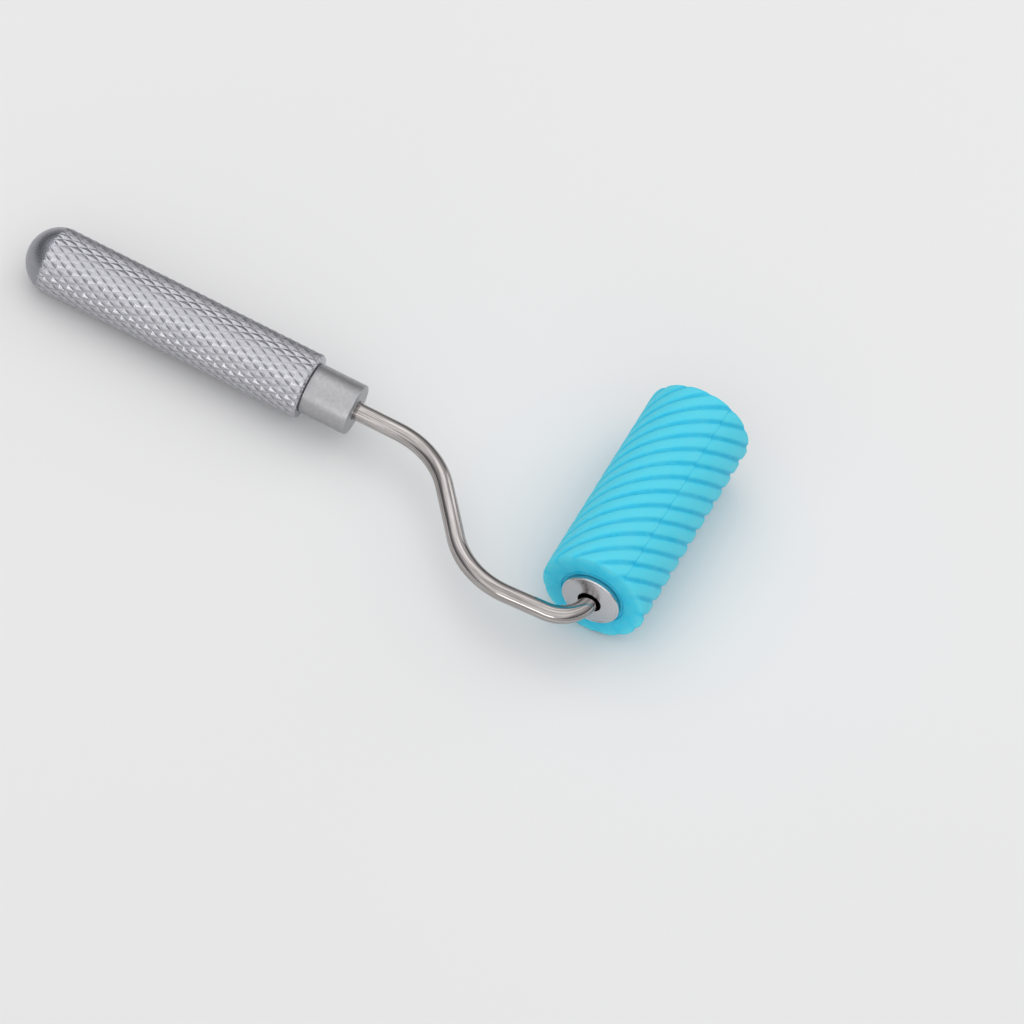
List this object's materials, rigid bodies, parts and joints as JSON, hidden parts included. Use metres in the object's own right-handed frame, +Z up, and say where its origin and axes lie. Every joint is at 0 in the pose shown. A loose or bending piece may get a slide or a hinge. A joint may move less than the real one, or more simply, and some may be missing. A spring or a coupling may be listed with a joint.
{
  "type": "hand roller",
  "caption": "Small hand roller with a ribbed silicone sleeve turning on a bent steel rod and a round knurled metal grip, for rolling ink, glue or paint flat.",
  "frame": {"origin": "on the supporting surface, under the middle of the bounding box of the tool at rest", "axes": "+X along the roller's axis from the rod side to the free side, +Y towards the domed end of the grip, +Z up"},
  "size_m": [0.075, 0.1758, 0.0267],
  "materials": {
    "satin_aluminium": "satin diamond knurl",
    "blasted_aluminium": "bead blasted",
    "polished_rod": "drawn and polished",
    "plain_steel": "plain",
    "spring_steel": "phosphated",
    "silicone": "moulded matte silicone",
    "white_plastic": "moulded",
    "plated_bush": "turned and polished"
  },
  "bodies": {
    "frame": {"grip": "satin_aluminium", "ferrule": "blasted_aluminium", "frame_rod": "polished_rod", "stop_ring": "plain_steel", "thrust_washer": "plain_steel", "retaining_clip": "spring_steel"},
    "roller": {"roller_sleeve": "silicone", "roller_core": "white_plastic", "near_bush": "plated_bush", "far_bush": "plated_bush", "near_liner": "white_plastic", "far_liner": "white_plastic"}
  },
  "joints": [
    {"name": "roller_spin", "type": "hinge", "parent": "frame", "child": "roller", "pos_m": [0.00547, -0.07454, 0.01335], "axis": [1, 0, 0], "continuous": true}
  ]
}
